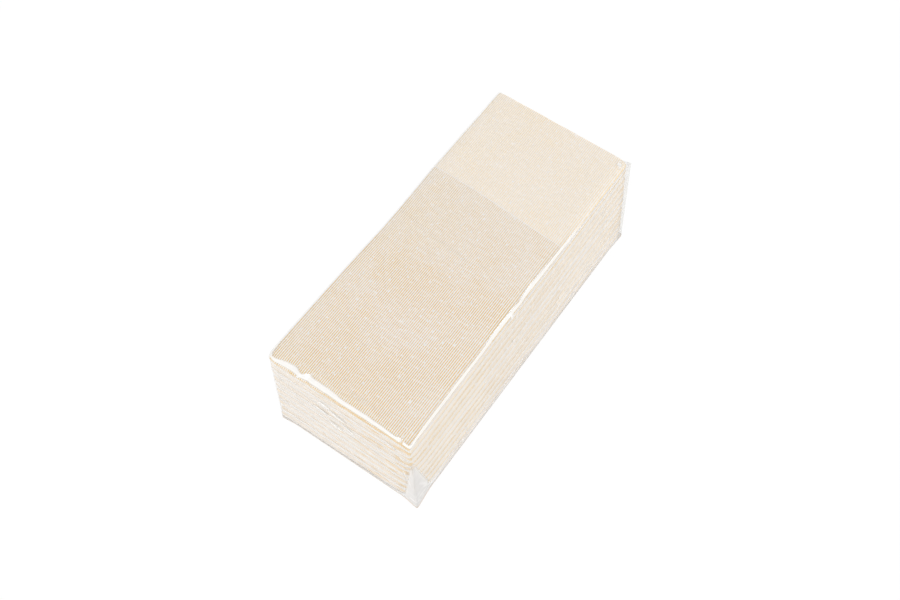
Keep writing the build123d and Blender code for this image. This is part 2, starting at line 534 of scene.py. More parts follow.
@dataclass(frozen=True)
class FilmFinish:
    """Clear shrink film, which whitens where it is stretched or creased. The same whitening also paints
    glare on the rim bands, glints on the tucks and near the foot, and a shade line along the foot.

    Args:
        name: The material's name.
        tint: What one layer lets through.
        milky: Its colour in the ears, where many layers lie on each other.
        white: Its colour where it is whitened elsewhere, which is also the colour of the painted glare and
            the painted glints.
        tan: Its colour along the foot, where it turns under the pack, which is a painted shade.
        roughness: The gloss's roughness.
        mirroring: How much it mirrors when it is seen face on.
        wrinkle_depth: How deep its fine wrinkles are.
        wrinkle_strength: How strong their bump is.
        wrinkle_fineness: How many there are in a metre, along each axis.
        swell_fineness: How many broad swells there are in a metre.
        streaks: How much of the whiteness the wrinkles leave, least and most.
        whitened_roughness: How rough it is where it is whitened.
        whitened_specular: How much it shines there.
    """

    name: str = "clear_film"
    tint: tuple = (0.975, 0.978, 0.98)
    milky: tuple = (0.84, 0.82, 0.80)
    white: tuple = (0.965, 0.95, 0.92)
    tan: tuple = (0.72, 0.585, 0.46)
    roughness: float = 0.06
    mirroring: float = 0.04
    wrinkle_depth: float = 0.10
    wrinkle_strength: float = 0.7
    wrinkle_fineness: tuple = (45.0, 45.0, 420.0)
    swell_fineness: float = 60.0
    streaks: tuple = (0.7, 1.0)
    whitened_roughness: float = 0.35
    whitened_specular: float = 0.9

    def make(self) -> bpy.types.Material:
        """Makes the material.

        Returns:
            The material, which is clear where the mesh's whitening is 0 and white where it is 1. That
            whitening also carries painted glare, painted glints and a painted shade along the foot.
        """
        graph = Graph(bpy.data.materials.new(self.name))
        place = graph.node("ShaderNodeTexCoord", None, None, "Object")
        stretched = graph.node("ShaderNodeMapping", None, {"Vector": place, "Scale": self.wrinkle_fineness})
        wrinkles = graph.noise(stretched, detail=1.0)
        height = wrinkles * 0.5 + graph.noise(place, self.swell_fineness, 1.0)
        bump = graph.bump(height, self.wrinkle_depth, self.wrinkle_strength)

        clear = graph.node("ShaderNodeBsdfTransparent", None, {"Color": self.tint})
        values = {"Color": (1.0, 1.0, 1.0), "Roughness": self.roughness, "Normal": bump}
        shine = graph.node("ShaderNodeBsdfAnisotropic", None, values)
        facing = graph.node("ShaderNodeLayerWeight", None, {"Blend": 0.5, "Normal": bump}, output="Facing")
        mirrored = graph.maths("POWER", facing, 5.0) * (1 - self.mirroring) + self.mirroring
        glossy = graph.mix_shaders(mirrored, clear, shine)

        colour = graph.blend(graph.attribute(DULLNESS), self.white, self.milky)
        # Painted shade: a tan line along the foot, where the film turns under the pack.
        colour = graph.blend(graph.attribute(FOOT_SHADE_MASK), colour, self.tan)
        values = {
            "Base Color": colour,
            "Roughness": self.whitened_roughness,
            "Specular IOR Level": self.whitened_specular,
        }
        # The whitened surface also shows the painted glare, the painted glints and the tan painted shade
        # along the foot.
        whitened_and_painted = graph.node("ShaderNodeBsdfPrincipled", None, values)

        haze_and_painted_light = graph.attribute(HAZE_AND_PAINTED_LIGHT)
        streaks = graph.ramp(wrinkles, 0.35, 0.7, *self.streaks)
        whiteness = haze_and_painted_light * (1 - (1 - streaks) * (1 - haze_and_painted_light))
        return graph.finish(graph.mix_shaders(whiteness, glossy, whitened_and_painted))


@dataclass(frozen=True)
class FloorFinish:
    """A plain white floor, which is white to the camera and still takes a shadow.

    Args:
        colour: Its colour in the light.
        glow: The share of it that the camera sees as plain white.
        brightness: How bright that white is.
    """

    colour: tuple = (0.92, 0.92, 0.92)
    glow: float = 0.94
    brightness: float = 1.02

    def make(self) -> bpy.types.Material:
        """Makes the material.

        Returns:
            The material.
        """
        graph = Graph(bpy.data.materials.new("white_floor"))
        lit = graph.node("ShaderNodeBsdfDiffuse", None, {"Color": self.colour})
        values = {"Color": (1.0, 1.0, 1.0), "Strength": self.brightness}
        white = graph.node("ShaderNodeEmission", None, values)
        return graph.finish(graph.mix_shaders(graph.seen_directly() * self.glow, lit, white))


PRINTED_FINISH = PaperFinish(
    name="printed_face",
    paper=(0.965, 0.96, 0.98),
    ink=(0.85, 0.575, 0.19),
    stripes=StripePrint(),
)
REVERSE_FINISH = PaperFinish(
    name="reverse_face",
    paper=(0.985, 0.965, 0.965),
    ink=(0.985, 0.745, 0.385),
    stripes=StripePrint(softness=0.6, unevenness=1.1, fold_ink=0.0),
)
CUT_FINISH = PaperFinish(
    name="cut_edge",
    paper=(0.96, 0.945, 0.92),
    ink=(0.72, 0.48, 0.26),
    stripes=StripePrint(softness=0.8, strength=0.2, fold_ink=0.0),
    fibre_depth=0.06,
)


@dataclass(frozen=True)
class Ripple:
    """A smooth random swell, the sum of a few waves that run in different directions.

    Args:
        seed: What its directions and phases are drawn from.
        length: The usual length of a wave.
        waves: How many waves there are.
    """

    seed: int
    length: float
    waves: int = 7

    def at(self, *places: np.ndarray) -> np.ndarray:
        """Gives the swell at some places.

        Args:
            places: One or more coordinates of the places.

        Returns:
            The swell, mostly between -1 and 1.
        """
        draw = np.random.default_rng(self.seed)
        total = 0.0
        for _ in range(self.waves):
            heading = draw.normal(size=len(places))
            heading *= 2 * math.pi / (np.linalg.norm(heading) * self.length * draw.uniform(0.7, 1.6))
            phase = draw.uniform(0, 2 * math.pi)
            total = total + np.sin(sum(turn * place for turn, place in zip(heading, places)) + phase)
        return total / math.sqrt(self.waves)


def smooth_step(low: float, high: float, values: np.ndarray) -> np.ndarray:
    """Goes softly from 0 at low to 1 at high."""
    share = np.clip((values - low) / (high - low), 0, 1)
    return share * share * (3 - 2 * share)


def make_mesh(
    name: str,
    points: np.ndarray,
    faces: list,
    materials: list,
    finish: list | None = None,
) -> bpy.types.Object:
    """Makes a smooth-shaded mesh object.

    Args:
        name: Its name.
        points: Its corners, in millimetres.
        faces: Tuples of corner numbers.
        materials: The materials that it uses.
        finish: For each face, which of them it takes. Without it, all take the first.

    Returns:
        The object, linked to the scene.
    """
    mesh = bpy.data.meshes.new(name)
    mesh.from_pydata((points * METRES).tolist(), [], faces)
    for material in materials:
        mesh.materials.append(material)
    if finish:
        mesh.polygons.foreach_set("material_index", np.asarray(finish, np.int32))
    mesh.polygons.foreach_set("use_smooth", np.ones(len(faces), bool))
    mesh.update()
    mesh.set_sharp_from_angle(angle=SHARP_ANGLE)
    piece = bpy.data.objects.new(name, mesh)
    bpy.context.scene.collection.objects.link(piece)
    return piece


def carry(piece: bpy.types.Object, name: str, values: np.ndarray) -> None:
    """Gives each point of a piece something that its material reads.

    Args:
        piece: The piece.
        name: What the material calls it.
        values: One number or one vector for each point.
    """
    kind, part = ("FLOAT", "value") if values.ndim == 1 else ("FLOAT_VECTOR", "vector")
    attribute = piece.data.attributes.new(name, kind, "POINT")
    attribute.data.foreach_set(part, values.astype(np.float32).ravel())


def tube(rings: int, columns: int) -> list[tuple]:
    """Joins each closed ring of points to the next.

    Args:
        rings: How many rings there are.
        columns: How many points each has.

    Returns:
        Quads as tuples of point numbers, ring by ring.
    """
    faces = []
    for start in range(0, (rings - 1) * columns, columns):
        for column in range(columns):
            here, after = start + column, start + (column + 1) % columns
            faces.append((here, after, after + columns, here + columns))
    return faces


@dataclass(frozen=True)
class Corner:
    """One upright corner of the pack, where paper and film part from each other.

    Args:
        side: 1 on the right and -1 on the left.
        end: 1 at the far end and -1 at the near end.
        low_press: How far the lowest napkin's corner is pressed in, along X and along Y.
        top_press: The same for the top napkin.
        low_ear: How far the film stands out at the foot.
        top_ear: The same at the top.
        low_move: How far the whole corner lies from its usual place at the foot, along X and along Y.
        top_move: The same at the top.
        filled: The share of the film's ears that the paper fills.
        roundness: How squarely the pressed corner turns.
        reach: How far inboard the press is felt, in times itself.
    """

    side: int
    end: int
    low_press: tuple
    top_press: tuple
    low_ear: float
    top_ear: float
    low_move: tuple = (0.0, 0.0)
    top_move: tuple = (0.0, 0.0)
    filled: float = 1.0
    roundness: int = 3
    reach: float = 8.0

    def press_in(self, x: np.ndarray, y: np.ndarray, share: np.ndarray, pack: "Pack") -> tuple:
        """Moves points near this corner inwards, so that the corner is rounded.

        Args:
            x: Across.
            y: Along.
            share: How far up the stack each point is, from 0 to 1.
            pack: The pack's sizes.

        Returns:
            The new x and y.
        """
        across = self.low_press[0] + share * (self.top_press[0] - self.low_press[0])
        along = self.low_press[1] + share * (self.top_press[1] - self.low_press[1])
        depth = (pack.stack_half_width - self.side * x) / across
        depth += (pack.stack_half_length - self.end * y) / along
        pressed = (np.maximum(depth, 0) ** self.roundness + 1) ** (1 / self.roundness)
        shift = np.where(depth < self.reach, (pressed - depth) / 2, 0)
        return x - self.side * across * shift, y - self.end * along * shift


@dataclass(frozen=True)
class Pack:
    """The sizes that the napkins and the film share, and how the film squeezes the stack.

    Args:
        napkin_count: How many napkins there are.
        napkin_width: One folded napkin's width.
        napkin_pitch: From one napkin to the next.
        stack_base: How high the stack lies over the table.
        stack_height: How high the stack is.
        stack_half_width: Half of its width.
        stack_half_length: Half of its length.
        rim_width: How far inboard the film draws the long rims down.
        rim_drop: How far it draws them down.
        rim_curve: How round the rims are.
        near_rim_depth: How quickly the near rim's bend dies out below the top.
        film_half_width: Half of the film's width between its ears.
        film_half_length: Half of its length between its ears.
        height: How high the whole pack is.
        corners: Its four upright corners.
        low_ear_reach: How much of the short side and of the long side an ear takes at the foot.
        top_ear_reach: How much of each it takes at the top.
        paper_spread: How far the paper spreads across and along, out to the film.
        left_spread: How much further it spreads on the left.
        left_waist: How far the left side is drawn in.
        left_waist_place: Where along the pack that is.
        left_waist_reach: How far it reaches from there.
        left_lift: How much less the left rim is drawn down.
        swell: How far the layers rise and fall inside the stack.
        give: How far the sides stray inwards.
        near_band: Places along the near end, each with the width of the whitened film there, the film's
            bridge over the rim, which carries painted glare.
        right_band: The same along the right side.
        band_wave: How far its edge strays between those places.
    """

    napkin_count: int = NAPKIN_COUNT
    napkin_width: float = 83.0
    napkin_pitch: float = 3.27
    stack_base: float = 0.35
    stack_height: float = 65.35
    stack_half_width: float = 41.85
    stack_half_length: float = 98.5
    rim_width: float = 6.0
    rim_drop: float = 1.3
    rim_curve: float = 1.5
    near_rim_depth: int = 8
    film_half_width: float = 42.25
    film_half_length: float = 99.2
    height: float = 65.95
    corners: tuple = (
        Corner(1, 1, (1.0, 1.2), (3.4, 2.6), 0.8, 0.9, (1.6, -0.6), (-1.5, -0.5), filled=0.4),
        Corner(-1, 1, (1.0, 1.2), (0.5, 0.5), 1.3, -0.2, top_move=(-0.5, 1.6)),
        Corner(-1, -1, (1.0, 1.2), (0.7, 0.7), 0.9, -1.0, (0.4, -0.4), (-0.2, -0.3)),
        Corner(1, -1, (6.0, 11.0), (1.6, 1.6), 1.3, 0.0, (1.7, -0.7), filled=0.0),
    )
    low_ear_reach: tuple = (8.0, 12.0)
    top_ear_reach: float = 4.0
    paper_spread: tuple = (0.45, 0.9)
    left_spread: float = 0.25
    left_waist: float = 1.0
    left_waist_place: float = -5.0
    left_waist_reach: float = 32.0
    left_lift: float = 0.85
    swell: float = 0.2
    give: float = 0.12
    near_band: tuple = (
        (-41, 1.2), (-36, 2.8), (-31, 4.4), (-26, 4.7), (-23, 2.4), (-21, 3.0), (-19, 6.2), (-17, 4.2),
        (-7, 4.1), (2, 2.9), (18, 3.0), (33, 1.9), (36, 2.4), (39, 1.4),
    )
    right_band: tuple = (
        (-98, 1.3), (-90, 1.9), (-60, 2.2), (-45, 1.9), (-33, 2.3), (-18, 3.0), (-9, 2.4), (-6, 1.5),
        (0, 2.9), (7, 3.0), (15, 2.2), (30, 1.9), (40, 1.5), (50, 0.9),
    )
    band_wave: float = 0.12

    def lean(self, points: np.ndarray) -> np.ndarray:
        """Moves points of the paper or of the film as the corners lie off their usual places.

        Args:
            points: The points.

        Returns:
            Their new places.
        """
        x, y, z = points[..., 0], points[..., 1], points[..., 2]
        share = np.clip(z / self.height, 0, 1)
        moved = points.copy()
        for corner in self.corners:
            across = np.clip(0.5 + 0.5 * corner.side * x / self.film_half_width, 0, 1)
            along = np.clip(0.5 + 0.5 * corner.end * y / self.film_half_length, 0, 1)
            for axis, low, top in zip(range(2), corner.low_move, corner.top_move):
                moved[..., axis] += across * along * (low + share * (top - low))
        left = np.clip(-x / self.film_half_width, 0, 1)
        waist = np.exp(-((y - self.left_waist_place) / self.left_waist_reach) ** 2)
        moved[..., 0] += self.left_waist * left * waist
        return moved

    def fill_ears(self, x: np.ndarray, y: np.ndarray, share: np.ndarray) -> tuple[np.ndarray, np.ndarray]:
        """Moves the paper out into the film's ears.

        Args:
            x: Across.
            y: Along.
            share: How far up the stack each point is, from 0 to 1.

        Returns:
            The new x and y.
        """
        width = self.low_ear_reach[0] + share * (self.top_ear_reach - self.low_ear_reach[0])
        length = self.low_ear_reach[1] + share * (self.top_ear_reach - self.low_ear_reach[1])
        new_x, new_y = x, y
        for corner in self.corners:
            inboard = np.clip(1 - (self.stack_half_width - corner.side * x) / width, 0, 1)
            inboard = inboard * np.clip(1 - (self.stack_half_length - corner.end * y) / length, 0, 1)
            rise = corner.filled * inboard * (corner.low_ear + share * (corner.top_ear - corner.low_ear))
            new_x, new_y = new_x + corner.side * rise, new_y + corner.end * rise
        return new_x, new_y

    def side_inset(self, y: np.ndarray) -> np.ndarray:
        """Gives how far inboard the film meets the flat top along the right side."""
        return np.interp(y, *zip(*self.right_band)) + self.band_wave * Ripple(41, 18).at(y)

    def end_inset(self, x: np.ndarray) -> np.ndarray:
        """Gives how far inboard it meets the flat top along the near end."""
        return np.interp(x, *zip(*self.near_band)) + self.band_wave * Ripple(42, 9).at(x)

    def squeeze(self, points: np.ndarray) -> np.ndarray:
        """Moves the stack's points as the film presses the stack.

        The move is smooth from one layer to the next, so that no layer goes through another.

        Args:
            points: The points of a napkin that lies in its place.

        Returns:
            Their new places.
        """
        x, y, z = (points[:, axis].copy() for axis in range(3))
        share = np.clip((z - self.stack_base) / self.stack_height, 0, 1)
        z += self.swell * np.sin(np.pi * share) * Ripple(3, 55).at(x, y, z * 2.2)
        x -= self.give * np.sign(x) * (0.5 + 0.5 * Ripple(5, 60).at(y, z * 2))
        y -= self.give * np.sign(y) * (0.5 + 0.5 * Ripple(6, 40).at(x, z * 2))
        side_rim = np.clip((np.abs(x) - self.napkin_width / 2 + self.rim_width) / self.rim_width, 0, 1.1)
        end_rim_width = self.end_inset(x) + 1.0
        end_rim = np.clip((-y - self.stack_half_length + end_rim_width) / end_rim_width, 0, 1.1)
        z -= (self.rim_drop - self.left_lift * (x < 0)) * side_rim ** self.rim_curve * share
        z -= self.rim_drop * end_rim ** self.rim_curve * share ** self.near_rim_depth
        for corner in self.corners:
            x, y = corner.press_in(x, y, share, self)
        x, y = self.fill_ears(x, y, share)
        x *= 1 + (self.paper_spread[0] + self.left_spread * (x < 0)) / self.stack_half_width
        y *= 1 + self.paper_spread[1] / self.stack_half_length
        return self.lean(np.stack([x, y, z], axis=1))


@dataclass(frozen=True)
class SheetProfile:
    """The sheet's outline along its length, where it is folded once and opens as a pocket.

    Points are given as (along, depth). Along starts at the folded end, and depth is
    towards the pocket's side of the line between the two plies.

    Args:
        ply: One layer of paper.
        length: The folded length.
        pocket_depth: From the folded end to the mouth.
        slit: How far in the mouth stands open.
        lip: How far inside the mouth its edge still swells.
        mouth_gap: How far the mouth gapes.
        lip_heights: How high the turned-over ply lies inside the mouth, and where the slit starts.
        floor_heights: How high the single ply lies where the slit starts, and inside the mouth.
        groove: How deep the line between two plies is at a cut edge.
        plump: How much thicker the single ply swells past the mouth, where it has room.
        plump_reach: How far past the mouth it has all its thickness.
        tip_bends: Where the round of the fold has points, in degrees.
        pocket_stations: Where the pocket has points, from the folded end.
        far_stations: Where the single ply has points, from the mouth.
    """

    ply: float = 0.38
    length: float = 196.0
    pocket_depth: float = POCKET_DEPTH
    slit: float = 2.5
    lip: float = 0.8
    mouth_gap: float = 0.04
    lip_heights: tuple = (0.05, 0.02)
    floor_heights: tuple = (0.0, 0.02)
    groove: float = 0.2
    plump: float = 0.3
    plump_reach: float = 1.5
    tip_bends: tuple = (25, 50, 72, 90)
    pocket_stations: tuple = (1, 2.2, 4, 7, 11, 16, 23, 32, 43, 55, 67, 79, 91, 103, 114, 122, 128)
    far_stations: tuple = (0.7, 2.2, 6, 12, 20, 29, 38, 46, 53, 57.5, 60, 61.4)

    def tip(self) -> list[tuple]:
        """Gives the round of the fold on the pocket's side, after its very end."""
        bends = [math.radians(bend) for bend in self.tip_bends]
        return [(self.ply * (1 - math.cos(bend)), self.ply * math.sin(bend)) for bend in bends]

    def slit_stations(self) -> tuple:
        """Gives where the slit starts, a place inside it and the mouth."""
        return (self.pocket_depth - self.slit, self.pocket_depth - self.lip, self.pocket_depth)

    def beyond(self) -> list[float]:
        """Gives the stations past the mouth, as far as the far cut edge."""
        return [*(self.pocket_depth + station for station in self.far_stations), self.length]

    def swell(self, station: float) -> float:
        """Gives how much the single ply has swollen at a station past the mouth."""
        share = min(1.0, (station - self.pocket_depth) / self.plump_reach)
        return self.plump * (0.6 + 0.4 * share)

    def lines(self) -> dict[str, list[tuple]]:
        """Draws the outline.

        Returns:
            Its lines by name, in the order in which they follow each other.
        """
        slit, inner, mouth = self.slit_stations()
        lip_inner, lip_start = self.lip_heights
        floor_start, floor_inner = self.floor_heights
        upper = [*self.pocket_stations, slit, inner, mouth]
        under = [*upper, *self.beyond()]
        return {
            "end": [(0.0, 0.0)],
            "tip": self.tip(),
            "upper": [(station, self.ply) for station in upper],
            "lip": [(mouth, self.swell(mouth) + self.mouth_gap), (inner, lip_inner), (slit, lip_start)],
            "floor": [(slit, floor_start), (inner, floor_inner), (mouth, self.swell(mouth))],
            "beyond": [(station, self.swell(station)) for station in self.beyond()],
            "under": [(station, -self.ply) for station in under[::-1]],
            "tip_under": [(along, -depth) for along, depth in self.tip()[::-1]],
        }

    def points(self) -> np.ndarray:
        """Gives the outline's points in order."""
        return np.array([point for line in self.lines().values() for point in line])

    def faces(self) -> list[Face]:
        """Tells which face of the sheet each stretch of the outline belongs to.

        Returns:
            The face from each point of the outline to the next.
        """
        inside = ("lip", "floor", "beyond")
        listed = []
        for name, line in self.lines().items():
            listed += [Face.REVERSE if name in inside else Face.PRINTED] * len(line)
        listed[self.rows("upper")[-1]] = Face.CUT
        listed[self.rows("beyond")[-1]] = Face.CUT
        return listed

    def rows(self, name: str) -> list[int]:
        """Finds one line's points in the outline.

        Args:
            name: The line's name.

        Returns:
            Their numbers, from the folded end on.
        """
        start = 0
        for key, line in self.lines().items():
            if key == name:
                break
            start += len(line)
        numbers = list(range(start, start + len(line)))
        return numbers if line[0][0] <= line[-1][0] else numbers[::-1]

    def cap(self, first_groove: int) -> list[tuple]:
        """Closes a cut edge that runs along the sheet.

        Args:
            first_groove: The number of the groove's first point. It has one for each
                of the pocket's stations.

        Returns:
            Polygons as tuples of point numbers.
        """
        end, tip, tip_under = self.rows("end")[0], self.rows("tip"), self.rows("tip_under")
        upper, lip, floor = self.rows("upper"), self.rows("lip"), self.rows("floor")
        under, beyond = self.rows("under"), self.rows("beyond")
        count = len(self.pocket_stations)
        groove = list(range(first_groove, first_groove + count))
        polygons = [(end, tip[0], tip_under[0])]
        for row in range(len(tip) - 1):
            polygons.append((tip[row], tip[row + 1], tip_under[row + 1], tip_under[row]))
        polygons.append((tip[-1], upper[0], groove[0]))
        polygons.append((tip[-1], groove[0], tip_under[-1]))
        polygons.append((tip_under[-1], groove[0], under[0]))
        for row in range(count - 1):
            polygons.append((upper[row], upper[row + 1], groove[row + 1], groove[row]))
            polygons.append((groove[row], groove[row + 1], under[row + 1], under[row]))
        last = count - 1
        polygons.append((upper[last], upper[count], lip[0], groove[last]))
        polygons.append((groove[last], lip[0], floor[0]))
        polygons.append((groove[last], floor[0], under[count], under[last]))
        for row in range(2):
            polygons.append((upper[count + row], upper[count + row + 1], lip[row + 1], lip[row]))
            polygons.append((floor[row], floor[row + 1], under[count + row + 1], under[count + row]))
        reverse = [floor[-1], *beyond]
        for row in range(len(reverse) - 1):
            polygons.append((reverse[row], reverse[row + 1], under[count + row + 3], under[count + row + 2]))
        return polygons


@dataclass(frozen=True)
class FoldedNapkin:
    """One napkin: a square sheet with one end turned over for a pocket, then folded in four.

    Args:
        number: Its place in the stack, from 1 at the bottom.
        pack: The pack that it is in.
        profile: The sheet's outline along its length.
        panel_gap: The air between two of its panels.
        edge_recess: How far the cut edges end inside the fold.
        panel_width: The width of one panel.
        mouth_slant: How far the mouth of the pocket slants over one panel.
        slant_wave: How far the mouth strays from that.
        slant_reach: How far along the sheet the slant is felt.
        stray_reach: How far along the sheet it is felt that an end strays.
        panel_stray: How far an end strays at most from one panel to the next.
        end_wave: How far it strays within a panel.
        cut_wave: How far the cut edges stray.
        sideways_shift: How far it lies off the middle line at most.
        endways_shift: The same along the pack.
        panel_points: How many points the route has on a panel.
        fold_points: How many it has in a tight fold. The outer fold has twice as many.
    """

    number: int
    pack: Pack
    profile: SheetProfile = SheetProfile()
    panel_gap: float = 0.06
    edge_recess: float = 0.25
    panel_width: float = PANEL_WIDTH
    mouth_slant: float = 1.9
    slant_wave: float = 0.6
    slant_reach: float = 14.0
    stray_reach: float = 22.0
    panel_stray: float = 0.1
    end_wave: float = 0.04
    cut_wave: float = 0.08
    sideways_shift: float = 0.12
    endways_shift: float = 0.2
    panel_points: int = 44
    fold_points: int = 7

    @property
    def height(self) -> float:
        """The napkin's height over its four panels."""
        return 8 * self.profile.ply + 3 * self.panel_gap

    @property
    def is_turned(self) -> bool:
        """Whether it lies with its folded end at the far end of the pack."""
        return (self.pack.napkin_count - self.number) % 2 == 1

    def panel_levels(self) -> list[float]:
        """Gives the heights of the four panels, in the order in which the sheet runs through them."""
        ply, gap = self.profile.ply, self.panel_gap
        return [3 * ply + gap, self.height - 3 * ply - gap, self.height - ply, ply]

    def route(self) -> tuple[np.ndarray, np.ndarray, np.ndarray]:
        """Draws the sheet's way through the folded napkin, between its two plies.

        Returns:
            Its points, across and up; at each, the way to the pocket's side; and for
            each the panel that it is on, from 0 to 3, with fractions in the folds.
        """
        half = self.pack.napkin_width / 2
        cut_edge = half - self.edge_recess
        left = -half + self.height / 2
        right = half - 2 * self.profile.ply - self.panel_gap / 2
        spans = [(cut_edge, left), (left, right), (right, left), (left, cut_edge)]
        levels = self.panel_levels()
        even = np.linspace(0, 1, self.panel_points)
        shares = (1 - np.cos(np.pi * even)) / 4 + even / 2
        points, sides, panels = [], [], []
        for panel, (level, (start, end)) in enumerate(zip(levels, spans)):
            heading = np.sign(end - start)
            points.append(np.stack([start + (end - start) * shares, np.full(len(shares), level)], axis=1))
            sides.append(np.tile([0.0, -heading], (len(shares), 1)))
            panels.append(np.full(len(shares), float(panel)))
            if panel < 3:
                count = self.fold_points * (2 if panel == 2 else 1)
                angles = np.linspace(0, np.pi, count + 2)[1:-1]
                radius = (level - levels[panel + 1]) / 2
                across = end + heading * abs(radius) * np.sin(angles)
                up = level - radius + radius * np.cos(angles)
                points.append(np.stack([across, up], axis=1))
                bulge = np.stack([heading * np.sin(angles), np.sign(radius) * np.cos(angles)], axis=1)
                sides.append(bulge * (-1 if panel == 0 else 1))
                panels.append(panel + angles / np.pi)
        return np.concatenate(points), np.concatenate(sides), np.concatenate(panels)

    def stray(self, end: SheetEnd, run: np.ndarray, panels: np.ndarray) -> np.ndarray:
        """Finds how far one end of the sheet strays inwards along the route.

        Args:
            end: Which end.
            run: The length of the route up to each of its points.
            panels: The panel of each point.

        Returns:
            How far it strays at each point.
        """
        draw = np.random.default_rng(100 * self.number + end.value)
        offsets = draw.uniform(0.0, self.panel_stray, 4)
        wave = Ripple(1000 + 10 * self.number + end.value, 16).at(run)
        return np.interp(panels, range(4), offsets) + self.end_wave * wave

    def strayed(
        self, along: np.ndarray, column: np.ndarray, run: np.ndarray, panels: np.ndarray
    ) -> np.ndarray:
        """Moves points along the sheet, as its ends stray and the mouth slants.

        Args:
            along: How far along the sheet each point is.
            column: The number of the route's point that each belongs to.
            run: The length of the route up to each of its points.
            panels: The panel of each point of the route.

        Returns:
            How far along the napkin each point is.
        """
        from_far = along - self.profile.length
        y = along + self.stray(SheetEnd.FOLDED, run, panels)[column] * np.exp(-along / self.stray_reach)
        y -= self.stray(SheetEnd.CUT, run, panels)[column] * np.exp(from_far / self.stray_reach)
        slant = self.mouth_slant * np.cos(run * math.pi / self.panel_width)
        slant += self.slant_wave * Ripple(70 + self.number, 60).at(run)
        return y - slant[column] * np.exp(-((along - self.profile.pocket_depth) / self.slant_reach) ** 2)

    def stacked(self, x: np.ndarray, y: np.ndarray, z: np.ndarray) -> np.ndarray:
        """Puts the napkin's points in their place in the pack.

        Args:
            x: Across, from the napkin's middle.
            y: Along, from its folded end.
            z: Up, from its underside.

        Returns:
            The points.
        """
        turn = -1 if self.is_turned else 1
        middle = self.sideways_shift * math.sin(2.4 * self.number)
        endways = self.endways_shift * math.sin(1.7 * self.number + 1)
        bottom = self.pack.stack_base + (self.number - 1) * self.pack.napkin_pitch
        y = turn * (y - self.profile.length / 2) + endways
        return self.pack.squeeze(np.stack([turn * x + middle, y, z + bottom], axis=1))

    def build(self, finishes: list[bpy.types.Material]) -> bpy.types.Object:
        """Builds the napkin in its place.

        Args:
            finishes: The materials, in the order of Face.

        Returns:
            The mesh object.
        """
        route, sides, panels = self.route()
        run = np.append(0, np.cumsum(np.linalg.norm(np.diff(route, axis=0), axis=1)))
        outline = self.profile.points()
        groove = np.array([(station, 0.0) for station in self.profile.pocket_stations])
        columns, rows, groove_rows = len(route), len(outline), len(groove)

        column = np.repeat([*range(columns), 0, columns - 1], [rows] * columns + [groove_rows] * 2)
        along, depth = np.concatenate([np.tile(outline, (columns, 1)), groove, groove]).T
        in_groove = np.arange(len(along)) >= columns * rows
        at_cut_edge = (np.minimum(run, run[-1] - run) < 0.5)[column]

        y = self.strayed(along, column, run, panels)
        x = route[column, 0] + sides[column, 0] * depth - self.profile.groove * in_groove
        x += self.cut_wave * Ripple(2000 + self.number, 9).at(y) * at_cut_edge
        z = route[column, 1] + sides[column, 1] * depth

        faces, kinds = self.polygons(columns, rows, groove_rows)
        piece = make_mesh(f"napkin_{self.number:02d}_sheet", self.stacked(x, y, z), faces, finishes, kinds)
        on_sheet = np.where(depth >= 0, along, -along)
        napkin = np.full(len(along), NUMBER_STEP * self.number)
        carry(piece, SHEET_PLACE, np.stack([run[column], on_sheet, napkin], axis=1))
        return piece

    def polygons(self, columns: int, rows: int, groove_rows: int) -> tuple[list, list]:
        """Lists the napkin's polygons.

        Args:
            columns: How many points the route has.
            rows: How many points the outline has.
            groove_rows: How many points a groove has.

        Returns:
            Tuples of point numbers, and for each the number of the sheet's face that it is on.
        """
        faces = tube(columns, rows)
        kinds = [face.value for face in self.profile.faces()] * (columns - 1)
        for column, first_groove in ((0, columns * rows), (columns - 1, columns * rows + groove_rows)):
            for polygon in self.profile.cap(first_groove - column * rows):
                corners = tuple(column * rows + corner for corner in polygon)
                faces.append(corners[::-1] if column == 0 else corners)
                kinds.append(Face.CUT.value)
        return faces, kinds


@dataclass(frozen=True)
class Tuck:
    """A small fold in the film, a ridge that fades out at both ends.

    Args:
        middle: Its middle, in millimetres.
        heading: The way that it runs.
        length: Its length.
        width: How wide it is.
        rise: How far it stands out.
    """

    middle: tuple
    heading: tuple
    length: float
    width: float
    rise: float

    def at(self, points: np.ndarray) -> np.ndarray:
        """Shapes the ridge.

        Args:
            points: Some places on the film.

        Returns:
            How far the film stands out there.
        """
        heading = np.array(self.heading, float)
        heading /= np.linalg.norm(heading)
        offset = points - np.array(self.middle)
        along = offset @ heading
        aside = np.linalg.norm(offset - along[..., None] * heading, axis=-1)
        return self.rise * np.exp(-(aside / self.width) ** 2 - (2 * along / self.length) ** 4)


